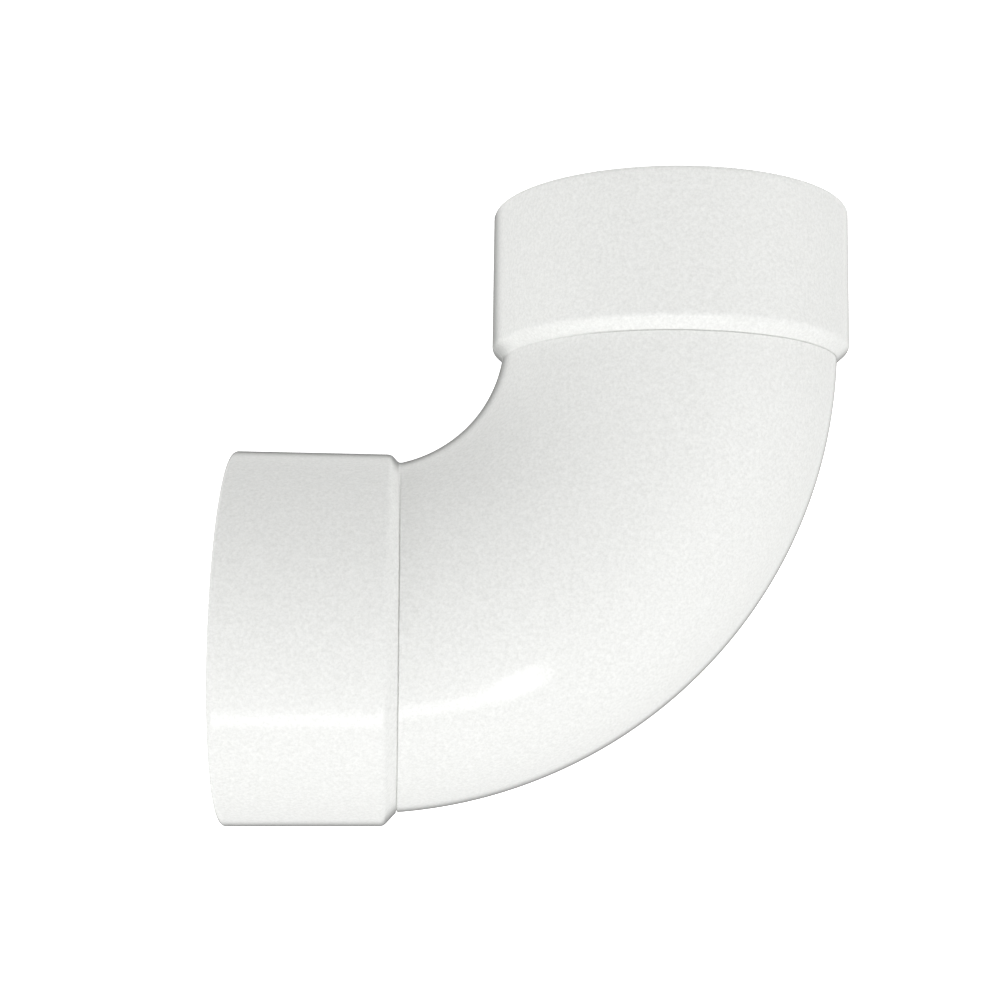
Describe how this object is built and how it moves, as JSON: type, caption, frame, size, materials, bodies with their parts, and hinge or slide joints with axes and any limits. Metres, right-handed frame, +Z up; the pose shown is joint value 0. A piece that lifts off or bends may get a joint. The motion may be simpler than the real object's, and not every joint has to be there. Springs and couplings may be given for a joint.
{
  "type": "pvc elbow fitting",
  "caption": "White PVC 90 degree sweep elbow, socket by socket, for solvent-welded drain and irrigation pipe.",
  "frame": {"origin": "centre of the pipe stop at the bottom of the inlet socket, where the end of the pipe seats", "axes": "+Y along the inlet socket, out of its mouth; -X is the way the outlet socket faces; +Z up, the elbow lying on its side"},
  "size_m": [0.195, 0.195, 0.115],
  "materials": {
    "pvc": "white unplasticised PVC as moulded, semi-gloss with a faint mottle"
  },
  "bodies": {
    "root": {"inlet_hub": "pvc", "bend": "pvc", "outlet_hub": "pvc"}
  },
  "joints": []
}
